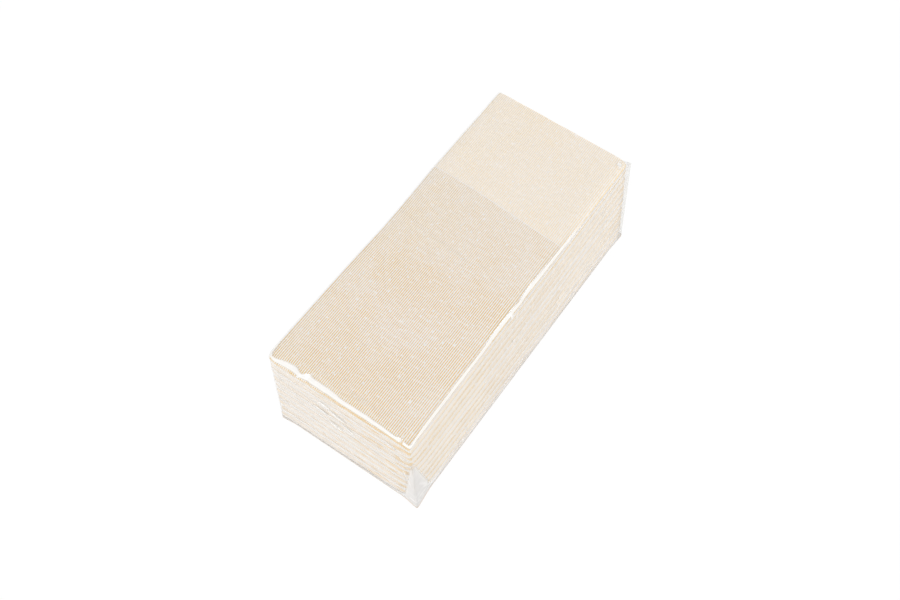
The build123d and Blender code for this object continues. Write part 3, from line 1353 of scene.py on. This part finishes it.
@dataclass(frozen=True)
class FilmWrap:
    """The clear shrink film, drawn tight round the stack, with an ear at each corner.

    Args:
        pack: The pack that it is round.
        clearance: How far its sides stand off their usual place.
        shoulder_drop: How far below the top it starts to bend over the rim.
        top_gap: How far its flat top lies below the pack's height.
        left_inset: How far inboard it meets the flat top along the left side.
        far_inset: The same along the far end.
        side_columns: How many points it has along a long side, between the ears.
        end_columns: The same along a short side.
        ear_columns: How many points each side of an ear has.
        side_rows: How many levels its sides have.
        floor_height: How high its underside lies.
        floor_shares: Where its underside has rings, as shares of the way out.
        foot_share: The same for the ring where it turns up.
        foot_rise: How far that ring has risen.
        first_level: How high the lowest ring of its sides lies, as a share of their height.
        shoulder_shares: Where the bend over the rim has rings, as shares of the way in.
        shoulder_curve: How fast it bends over the rim.
        side_fade: How near the long sides their insets begin, and where they count in full.
        end_fade: The same near the short sides.
        top_shares: Where the flat top has rings, as shares of the way out.
        folds: The length and the height of its broad swells, and of the slanting ones over them.
        foot_folds: The same for the small ones along the foot.
        top_folds: The same for those of the flat top.
        corner_calm: How much flatter the swells are near the corners.
        band_glare_and_haze: How white the bands round the top are, mostly painted glare, with some whitening
            of the stretched film.
        right_band_foot: Between which heights the right band's whiteness sets in.
        near_band_foot: The same for the near band.
        band_top: Between which heights the whiteness of both ends.
        ear_haze: How white the ear at the near right foot is.
        ear_height: How high it reaches.
        ear_spread: How far inboard it reaches at the foot, across and along.
        far_ear_haze: How white the far right corner is.
        foot_shade_strength: How much the painted shade line along the foot shows, where the film turns under
            the pack.
        foot_shade_start: Between which heights that painted shade sets in.
        foot_shade_end: Between which heights it ends.
        foot_glint_strength: How white the painted glints near the foot are.
        ridge_glint_and_haze: How white a tuck is for each millimetre that it stands out: a painted glint on
            the sides, and on the top a whitened crease with painted glare.
        ridge_shift: How far above a tuck's ridge its painted glint lies on the sides.
        clear_haze: How white it is elsewhere.
        tucks: Its creases.
    """

    pack: Pack
    clearance: float = 0.05
    shoulder_drop: float = 1.5
    top_gap: float = 0.1
    left_inset: float = 1.6
    far_inset: float = 1.2
    side_columns: int = 150
    end_columns: int = 100
    ear_columns: int = 16
    side_rows: int = 84
    floor_height: float = 0.12
    floor_shares: tuple = (0.05, 0.35, 0.7, 0.9, 0.97)
    foot_share: float = 0.992
    foot_rise: float = 0.05
    first_level: float = 0.006
    shoulder_shares: tuple = (0.04, 0.12, 0.3, 0.5, 0.7, 0.86, 0.95, 1.0, 1.06)
    shoulder_curve: float = 1.25
    side_fade: tuple = (3.5, 0.5)
    end_fade: tuple = (4.0, 0.8)
    top_shares: tuple = (0.985, 0.955)
    folds: tuple = ((26, 0.10), (9, 0.07))
    foot_folds: tuple = (4.2, 0.04)
    top_folds: tuple = (22, 0.04)
    corner_calm: float = 0.8
    band_glare_and_haze: float = 0.95
    right_band_foot: tuple = (64.68, 64.85)
    near_band_foot: tuple = (64.7, 64.9)
    band_top: tuple = (65.65, 65.84)
    ear_haze: float = 0.85
    ear_height: float = 52
    ear_spread: tuple = (7.5, 13)
    far_ear_haze: float = 0.4
    foot_shade_strength: float = 0.66
    foot_shade_start: tuple = (0.13, 0.16)
    foot_shade_end: tuple = (1.3, 1.9)
    foot_glint_strength: float = 0.9
    ridge_glint_and_haze: float = 5.0
    ridge_shift: float = 0.5
    clear_haze: float = 0.01
    tucks: tuple = (
        Tuck((-20.0, -97.0, 65.2), (0.25, -1.0, 0.0), 4.5, 0.5, 0.5),
        Tuck((-23.0, -97.8, 64.6), (-0.3, -1.0, 0.0), 3.5, 0.5, 0.4),
        Tuck((34.5, -97.8, 65.2), (0.4, -1.0, 0.0), 4.5, 0.5, 0.5),
        Tuck((-9.0, -99.2, 52.0), (1.0, 0.0, -0.2), 6.0, 0.6, 0.32),
        Tuck((-2.0, -99.2, 47.0), (1.0, 0.0, -0.3), 9.0, 0.6, 0.36),
        Tuck((-12.0, -99.2, 43.0), (1.0, 0.0, -0.2), 7.0, 0.6, 0.34),
        Tuck((-4.0, -99.2, 35.0), (1.0, 0.0, -0.3), 7.0, 0.6, 0.34),
        Tuck((5.0, -99.2, 40.0), (1.0, 0.0, -0.5), 6.0, 0.55, 0.28),
        Tuck((30.0, -99.2, 55.0), (1.0, 0.0, -0.4), 9.0, 0.4, 0.2),
        Tuck((36.0, -99.2, 48.0), (1.0, 0.0, -0.9), 6.0, 0.4, 0.2),
        Tuck((38.0, -99.2, 30.0), (0.3, 0.0, -1.0), 16.0, 0.45, 0.14),
        Tuck((42.2, -93.0, 16.0), (0.0, 0.5, -1.0), 12.0, 0.5, 0.2),
        Tuck((42.2, -90.0, 9.0), (0.0, 0.9, -1.0), 9.0, 0.45, 0.25),
        Tuck((42.2, -95.0, 7.0), (0.0, 0.3, -1.0), 7.0, 0.45, 0.2),
        Tuck((42.2, -12.0, 38.0), (0.0, 0.5, -1.0), 6.0, 0.5, 0.2),
        Tuck((42.2, -13.4, 64.6), (0.6, 1.0, -0.4), 3.5, 0.5, 0.4),
        Tuck((38.2, 93.6, 65.85), (1.0, -0.5, 0.0), 4.0, 0.9, 0.75),
        Tuck((37.0, -96.4, 65.3), (1.0, 0.5, 0.0), 5.0, 0.45, 0.3),
        Tuck((-20.0, 3.0, 65.85), (1.0, -0.14, 0.0), 44.0, 0.9, 0.03),
    )

    @property
    def top_of_side(self) -> float:
        """How high it starts to bend over the rim."""
        return self.pack.height - self.shoulder_drop

    @property
    def top_rise(self) -> float:
        """How far it rises from there to its flat top."""
        return self.shoulder_drop - self.top_gap

    def outline(self, ear: tuple, ears: list[float], passes: int) -> np.ndarray:
        """Draws a level outline of the film, in even steps between its bends, and rounds it.

        Args:
            ear: How much of the short side and of the long side an ear takes.
            ears: How far each corner stands out.
            passes: How often it is rounded.

        Returns:
            Its points, across and along.
        """
        half_width = self.pack.film_half_width + self.clearance
        half_length = self.pack.film_half_length + self.clearance
        bends = []
        for corner, rise in zip(self.pack.corners, ears):
            points = [
                (corner.side * half_width, corner.end * (half_length - ear[1])),
                (corner.side * (half_width + rise), corner.end * (half_length + rise)),
                (corner.side * (half_width - ear[0]), corner.end * half_length),
            ]
            bends += points if corner.side == corner.end else points[::-1]
        bends = np.array(bends)
        tip = self.ear_columns
        counts = [tip, tip, self.end_columns, tip, tip, self.side_columns] * 2
        runs = []
        for start, end, count in zip(bends, np.roll(bends, -1, axis=0), counts):
            shares = np.arange(count)[:, None] / count
            runs.append(start + (end - start) * shares)
        return self.rounded(np.concatenate(runs), passes)

    def rounded(self, ring: np.ndarray, passes: int) -> np.ndarray:
        """Rounds a closed ring of points.

        Args:
            ring: The points.
            passes: How often each is drawn towards its neighbours.

        Returns:
            The rounded ring.
        """
        for _ in range(passes):
            ring = (np.roll(ring, 1, axis=0) + 2 * ring + np.roll(ring, -1, axis=0)) / 4
        return ring

    def rings(self) -> np.ndarray:
        """Draws the film's level rings, from the underside up and in over the top.

        Returns:
            Points by ring and by column.
        """
        pack = self.pack
        low = self.outline(pack.low_ear_reach, [corner.low_ear for corner in pack.corners], passes=3)
        high = self.outline((pack.top_ear_reach,) * 2, [corner.top_ear for corner in pack.corners], passes=5)
        shoulder = self.shoulder(high)
        rings = [(self.inward(low, share), self.floor_height) for share in self.floor_shares]
        rings.append((self.inward(low, self.foot_share), self.floor_height + self.foot_rise))
        for share in np.linspace(self.first_level, 1, self.side_rows):
            rings.append((low + (high - low) * share, self.top_of_side * share))
        for share in self.shoulder_shares:
            arch = 1 - (1 - min(share, 1.0)) ** self.shoulder_curve
            rings.append((high + (shoulder - high) * share, self.top_of_side + self.top_rise * arch))
        rings += [(self.inward(shoulder, share), pack.height - self.top_gap) for share in self.top_shares]
        return np.array([np.column_stack([ring, np.full(len(ring), height)]) for ring, height in rings])

    def inward(self, ring: np.ndarray, share: float) -> np.ndarray:
        """Draws a ring in towards the line along the middle of the pack."""
        shrink = 1 - (1 - share) * self.pack.film_half_width / self.pack.film_half_length
        return ring * np.array([share, shrink])

    def shoulder(self, ring: np.ndarray) -> np.ndarray:
        """Draws the ring where the film meets the flat top.

        Args:
            ring: The ring where its sides end.

        Returns:
            The ring further inboard, at the same columns.
        """
        x, y = ring[:, 0], ring[:, 1]
        half_width, half_length = self.pack.film_half_width, self.pack.film_half_length
        sides = [half_width - reach for reach in self.side_fade]
        ends = [half_length - reach for reach in self.end_fade]
        right = self.pack.side_inset(y) * smooth_step(*sides, x)
        left = self.left_inset * smooth_step(*sides, -x)
        near = self.pack.end_inset(x) * smooth_step(*ends, -y)
        far = self.far_inset * smooth_step(*ends, y)
        return self.rounded(np.column_stack([x - right + left, y + near - far]), 4)

    def relief(self, rings: np.ndarray) -> np.ndarray:
        """Gives the film its swells and tucks.

        Args:
            rings: Its points.

        Returns:
            How far each stands out.
        """
        x, y, z = rings[..., 0], rings[..., 1], rings[..., 2]
        upright = smooth_step(1.0, 6.0, z) * (1 - smooth_step(62.5, 64.4, z))
        (length, height), (slant_length, slant_height) = self.folds
        swell = height * Ripple(51, length).at(x, y, z * 1.5)
        swell += slant_height * Ripple(52, slant_length).at((x - y) * 0.35, z * 1.6)
        foot_length, foot_height = self.foot_folds
        foot = np.exp(-((z - 5) / 7) ** 2) * smooth_step(0.3, 1.5, z) * foot_height
        rise = upright * swell + foot * Ripple(53, foot_length).at(x * 0.8, y * 0.8, z * 1.2)
        rise *= 1 - self.corner_calm * smooth_step(30, 42, np.abs(x)) * smooth_step(84, 97, np.abs(y))
        return rise + sum(tuck.at(rings) for tuck in self.tucks)

    def wrinkled(self, rings: np.ndarray) -> np.ndarray:
        """Moves the film's points in and out along its own normals, and leans it as the pack leans.

        Args:
            rings: Its points.

        Returns:
            Their new places.
        """
        sideways = np.roll(rings, -1, axis=1) - np.roll(rings, 1, axis=1)
        normals = np.cross(sideways, np.gradient(rings, axis=0))
        normals /= np.linalg.norm(normals, axis=-1, keepdims=True) + 1e-12
        moved = rings + normals * self.relief(rings)[..., None]
        x, z = rings[..., 0], rings[..., 2]
        below_top = np.clip((self.pack.height - self.top_gap - z) / self.top_rise, 0, 1)
        lift = smooth_step(50, self.top_of_side, z) * below_top
        moved[..., 2] += self.pack.left_lift * lift * smooth_step(36, 41, -x)
        return self.pack.lean(moved)

    def ring_sides(self) -> tuple[int, int]:
        """Gives how many steps a ring takes over a short side and over a long side, tip to tip."""
        return 2 * self.ear_columns + self.end_columns, 2 * self.ear_columns + self.side_columns

    def top_grid(self, ring: np.ndarray) -> np.ndarray:
        """Fills the flat top inside the last ring with a grid of points.

        Args:
            ring: The last ring's points.

        Returns:
            Points inside it, by row along the short sides and by column along the long ones.
        """
        across, along = self.ring_sides()
        tip = self.ear_columns
        ring = np.roll(ring, -tip, axis=0)
        far, left = ring[:across + 1], ring[across:across + along + 1]
        near = ring[across + along:2 * across + along + 1][::-1]
        right = np.concatenate([ring[2 * across + along:], ring[:1]])[::-1]
        u = (np.arange(across + 1) / across)[:, None, None]
        v = (np.arange(along + 1) / along)[None, :, None]
        grid = (1 - v) * far[:, None] + v * near[:, None] + (1 - u) * right[None] + u * left[None]
        grid -= (1 - u) * (1 - v) * far[0] + u * (1 - v) * far[-1] + (1 - u) * v * near[0] + u * v * near[-1]
        x, y = grid[..., 0], grid[..., 1]
        inside = (4 * u * (1 - u) * 4 * v * (1 - v))[..., 0]
        length, height = self.top_folds
        grid[..., 2] += height * np.minimum(4 * inside, 1) * Ripple(55, length).at(x, y)
        return grid[1:-1, 1:-1]

    def top_faces(self, ring_start: int, grid_start: int, shape: tuple) -> list[tuple]:
        """Joins the top's grid to the last ring.

        Args:
            ring_start: The number of the ring's first point.
            grid_start: The number of the grid's first point.
            shape: How many rows and columns the grid has.

        Returns:
            Quads as tuples of point numbers.
        """
        across, along = self.ring_sides()
        columns = 2 * (across + along)
        numbers = np.zeros((across + 1, along + 1), int)
        around = ring_start + (np.arange(columns) + self.ear_columns) % columns
        numbers[:, 0] = around[:across + 1]
        numbers[-1, :] = around[across:across + along + 1]
        numbers[:, -1] = around[across + along:2 * across + along + 1][::-1]
        numbers[0, :] = np.append(around[2 * across + along:], around[0])[::-1]
        numbers[1:-1, 1:-1] = grid_start + np.arange(shape[0] * shape[1]).reshape(shape)
        corners = (numbers[:-1, :-1], numbers[1:, :-1], numbers[1:, 1:], numbers[:-1, 1:])
        return [tuple(quad) for quad in np.stack(corners, axis=-1).reshape(-1, 4).tolist()]

    def in_ear(self, rings: np.ndarray) -> np.ndarray:
        """Finds the ear at the near right foot, where the film stands off the paper.

        Args:
            rings: Some points of the film.

        Returns:
            1 in the ear, and 0 elsewhere.
        """
        x, y, z = rings[..., 0], rings[..., 1], rings[..., 2]
        side, end = self.pack.film_half_width + 0.25, self.pack.film_half_length
        fan = 1 - z / self.ear_height
        across = smooth_step(-0.6, 0.6, x - side + self.ear_spread[0] * fan)
        along = smooth_step(-0.8, 0.8, -y - end + self.ear_spread[1] * fan)
        return across * along * smooth_step(0, 0.25, fan)

    def in_bands(self, rings: np.ndarray) -> np.ndarray:
        """Finds the bands along the right and the near rim, where the film bridges the rounded paper and
        carries painted glare.

        Args:
            rings: Some points of the film.

        Returns:
            1 in the bands, and 0 elsewhere.
        """
        x, y, z = rings[..., 0], rings[..., 1], rings[..., 2]
        right = smooth_step(*self.right_band_foot, z) * smooth_step(37.0, 38.0, x)
        right *= 1 - smooth_step(40, 60, y)
        near = smooth_step(*self.near_band_foot, z) * smooth_step(90.0, 91.0, -y)
        near *= 1 - smooth_step(35.5, 37.5, x)
        return (1 - smooth_step(*self.band_top, z)) * np.maximum(right, near)

    def foot_shade_mask(self, rings: np.ndarray) -> np.ndarray:
        """Gives 1 at the foot, where the film turns under the pack and carries a painted shade line, and 0
        elsewhere.
        """
        z = rings[..., 2]
        return smooth_step(*self.foot_shade_start, z) * (1 - smooth_step(*self.foot_shade_end, z))

    def haze_and_painted_light(self, rings: np.ndarray) -> np.ndarray:
        """Whitens the film where it is stretched, gathered or creased, and paints glare on the rim bands,
        glints near the foot and on the tucks, and a shade line along the foot.

        A tuck on the sides carries its painted glint on its upper flank only, where a lamp would catch it.

        Args:
            rings: Some points of the film.

        Returns:
            How white it is at each, from 0 to 1.
        """
        x, y, z = rings[..., 0], rings[..., 1], rings[..., 2]
        far_corner = smooth_step(38, 42, x) * smooth_step(95, 98, y) * (1 - smooth_step(64.5, 65.2, z))
        # Painted glints near the foot of the right side.
        near_foot = np.exp(-((z - 5) / 3.5) ** 2) * smooth_step(38, 41, x)
        foot_glints = near_foot * smooth_step(0.9, 1.3, Ripple(58, 3.4).at(y * 0.4 + z * 0.9, z * 0.8))
        # Painted glints on the upper flank of the tucks on the sides; on the top the whole tuck is whitened.
        upper_flank = rings.copy()
        upper_flank[..., 2] -= self.ridge_shift * (z < 60)
        tuck_glints_and_haze = sum(tuck.at(upper_flank) for tuck in self.tucks)
        # The rim bands carry painted glare, where the film would mirror the lamps.
        haze_and_painted_light = self.clear_haze + self.band_glare_and_haze * self.in_bands(rings) + self.ear_haze * self.in_ear(rings)
        # The foot carries a painted shade line.
        haze_and_painted_light += self.far_ear_haze * far_corner + self.foot_shade_strength * self.foot_shade_mask(rings)
        haze_and_painted_light += self.foot_glint_strength * foot_glints + self.ridge_glint_and_haze * tuck_glints_and_haze
        return np.clip(haze_and_painted_light, 0, 1)

    def build(self, finish: bpy.types.Material) -> bpy.types.Object:
        """Builds the film as one closed skin.

        Args:
            finish: Its material.

        Returns:
            The mesh object.
        """
        smooth = self.rings()
        skin = self.wrinkled(smooth)
        count, columns = skin.shape[:2]
        top = self.top_grid(skin[-1])
        on_top = np.zeros(top[..., 0].size)
        faces = tube(count, columns)
        faces.append(tuple(range(columns))[::-1])
        faces += self.top_faces((count - 1) * columns, count * columns, top.shape[:2])
        points = np.concatenate([skin.reshape(-1, 3), top.reshape(-1, 3)])
        piece = make_mesh("film_skin", points, faces, [finish])
        # The whitening also carries the painted glare, the painted glints and the painted shade along the
        # foot.
        carry(piece, HAZE_AND_PAINTED_LIGHT, np.append(self.haze_and_painted_light(smooth), self.haze_and_painted_light(top)))
        carry(piece, DULLNESS, np.append(self.in_ear(smooth), on_top))
        carry(piece, FOOT_SHADE_MASK, np.append(self.foot_shade_mask(smooth), on_top))
        return piece


@dataclass(frozen=True)
class FilmLap:
    """The strip under the pack where the film's two edges are welded together.

    Args:
        pack: The pack that it is under.
        width: Its width.
        end_gap: How far it ends inside the film's ends.
        height: How high it lies over the table.
        thickness: Its thickness.
        wave: How far its edges stray.
        stations: How many points it has along its length.
        weld: Places across its upper side, as shares of its width, each with the whiteness there.
    """

    pack: Pack
    width: float = 14.0
    end_gap: float = 1.0
    height: float = 0.02
    thickness: float = 0.06
    wave: float = 0.4
    stations: int = 160
    weld: tuple = ((1.0, 0.5), (0.9, 0.15), (0.5, 0.6), (0.1, 0.15), (0.0, 0.5))

    def build(self, finish: bpy.types.Material) -> bpy.types.Object:
        """Builds the strip as a closed ribbon.

        Args:
            finish: Its material.

        Returns:
            The mesh object.
        """
        half_length = self.pack.film_half_length - self.end_gap
        y = np.linspace(-half_length, half_length, self.stations)
        left = -self.width / 2 + self.wave * Ripple(61, 30).at(y)
        right = self.width / 2 + self.wave * Ripple(62, 30).at(y)
        shares, whiteness = zip((0.0, 0.5), (1.0, 0.5), *self.weld)
        heights = [self.height] * 2 + [self.height + self.thickness] * len(self.weld)
        lines = [
            np.stack([left + share * (right - left), y, np.full(len(y), height)], axis=1)
            for share, height in zip(shares, heights)
        ]
        rows = len(lines)
        last = (self.stations - 1) * rows
        faces = [(face[0], *face[:0:-1]) for face in tube(self.stations, rows)]
        faces.append(tuple(range(rows)))
        faces.append(tuple(range(last, last + rows))[::-1])
        piece = make_mesh("film_lap", np.stack(lines, axis=1).reshape(-1, 3), faces, [finish])
        carry(piece, HAZE_AND_PAINTED_LIGHT, np.tile(whiteness, self.stations))
        return piece


def outward(azimuth: float, elevation: float) -> Vector:
    """Points away from the pack.

    Args:
        azimuth: A bearing round the pack, in degrees, from behind the near end towards the right.
        elevation: The height over the table, in degrees.

    Returns:
        A vector one metre long.
    """
    bearing, height = math.radians(azimuth), math.radians(elevation)
    level = math.cos(height)
    return Vector((math.sin(bearing) * level, -math.cos(bearing) * level, math.sin(height)))


def stand(name: str, data: bpy.types.ID, place: Vector, away: Vector, roll: float = 0.0) -> bpy.types.Object:
    """Puts a lamp or a camera in the scene.

    Args:
        name: Its name.
        data: The lamp or the camera.
        place: Where it stands, in metres.
        away: The way from what it faces to it.
        roll: How far it is tilted, in degrees.

    Returns:
        The object.
    """
    thing = bpy.data.objects.new(name, data)
    thing.location = place
    thing.rotation_mode = "QUATERNION"
    tilt = Quaternion((0.0, 0.0, 1.0), math.radians(roll))
    thing.rotation_quaternion = away.to_track_quat("Z", "Y") @ tilt
    bpy.context.scene.collection.objects.link(thing)
    return thing


@dataclass(frozen=True)
class AreaLamp:
    """One softbox, which points at the middle of the pack.

    Args:
        name: Its name.
        azimuth: Its bearing, as outward takes it.
        elevation: How high it stands, in degrees.
        distance: How far off it is, in metres.
        size: The length of its sides, in metres.
        radiance: How bright its face is.
        mirrored: Whether it shows in glossy surfaces.
    """

    name: str
    azimuth: float
    elevation: float
    distance: float
    size: tuple
    radiance: float
    mirrored: bool = True

    def build(self) -> bpy.types.Object:
        """Makes the lamp and adds it to the scene.

        Returns:
            Its object.
        """
        data = bpy.data.lights.new(self.name, "AREA")
        data.shape = "RECTANGLE"
        data.size, data.size_y = self.size
        data.energy = self.radiance * math.pi * self.size[0] * self.size[1]
        away = outward(self.azimuth, self.elevation)
        lamp = stand(self.name, data, away * self.distance, away)
        lamp.visible_glossy = self.mirrored
        return lamp


@dataclass(frozen=True)
class Studio:
    """The floor, the soft light and the camera.

    Args:
        floor_size: The floor's side, in metres.
        world_strength: How bright the white surroundings are.
        camera_place: Where the camera stands, in metres.
        camera_azimuth: Its bearing, as outward takes it.
        camera_elevation: How far down it looks, in degrees.
        camera_roll: How far it is tilted, in degrees.
        focal_length: Its focal length, in millimetres.
        sensor_width: Its sensor's width, in millimetres.
        nearest: How near it can see, in metres.
        lamps: The softboxes. The low ones only fill in, and would blot out the flat top in low views.
    """

    floor_size: float = 8.0
    world_strength: float = 0.5
    camera_place: tuple = (0.18475, -0.26395, 0.55788)
    camera_azimuth: float = 35.79
    camera_elevation: float = 58.99
    camera_roll: float = -0.91
    focal_length: float = 47.03
    sensor_width: float = 36.0
    nearest: float = 0.01
    lamps: tuple = (
        AreaLamp("overhead_softbox", -10, 84, 1.6, (0.75, 0.6), 4.3),
        AreaLamp("right_softbox", 140, 58, 1.6, (0.5, 0.4), 3.6),
        AreaLamp("near_fill", -12, 16, 1.8, (1.2, 0.8), 3.68, mirrored=False),
        AreaLamp("right_fill", 100, 16, 1.8, (1.2, 0.8), 2.68, mirrored=False),
    )

    def build_floor(self) -> bpy.types.Object:
        """Makes the floor.

        Returns:
            Its object.
        """
        half = self.floor_size / 2 / METRES
        corners = np.array([(-half, -half, 0.0), (half, -half, 0.0), (half, half, 0.0), (-half, half, 0.0)])
        floor = make_mesh("floor", corners, [(0, 1, 2, 3)], [FloorFinish().make()])
        return floor

    def build_world(self) -> bpy.types.World:
        """Makes the white surroundings.

        Returns:
            The world.
        """
        graph = Graph(bpy.data.worlds.new("white_studio"))
        values = {"Color": (1.0, 1.0, 1.0), "Strength": self.world_strength}
        light = graph.node("ShaderNodeBackground", None, values)
        white = graph.node("ShaderNodeBackground", None, {"Color": (1.0, 1.0, 1.0), "Strength": 1.0})
        world = graph.finish(graph.mix_shaders(graph.seen_directly(), light, white))
        bpy.context.scene.world = world
        return world

    def build_camera(self) -> bpy.types.Object:
        """Makes the camera at the photograph's viewing angle.

        Returns:
            Its object.
        """
        data = bpy.data.cameras.new("camera")
        data.lens = self.focal_length
        data.sensor_width = self.sensor_width
        data.clip_start = self.nearest
        away = outward(self.camera_azimuth, self.camera_elevation)
        camera = stand("camera", data, Vector(self.camera_place), away, self.camera_roll)
        bpy.context.scene.camera = camera
        return camera


def add_piece(piece: bpy.types.Object, node: str) -> None:
    """Lets a piece stand for a node of the model, and reports it.

    Args:
        piece: The piece.
        node: The node.
    """
    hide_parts(node)
    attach(piece, BODY)
    log.info("piece %s: %d polygons", piece.name, len(piece.data.polygons))


def main() -> None:
    """Builds every piece, dresses it and reports it."""
    logging.basicConfig(level=logging.INFO, format="%(message)s")
    bpy.context.scene.view_settings.view_transform = "Standard"
    # The denoiser takes its guides as they are. Smoothed first, they would lose the fine stripes.
    bpy.context.scene.cycles.denoising_prefilter = "NONE"

    studio = Studio()
    studio.build_floor()
    studio.build_world()
    studio.build_camera()
    for lamp in studio.lamps:
        lamp.build()
        log.info("lamp %s", lamp.name)

    pack = Pack()
    finishes = [finish.make() for finish in (PRINTED_FINISH, REVERSE_FINISH, CUT_FINISH)]
    for number in range(1, pack.napkin_count + 1):
        add_piece(FoldedNapkin(number, pack).build(finishes), f"napkin_{number:02d}")

    clear = FilmFinish().make()
    for film in (FilmWrap(pack), FilmLap(pack)):
        add_piece(film.build(clear), "film_wrap")


if __name__ == "__main__":
    main()
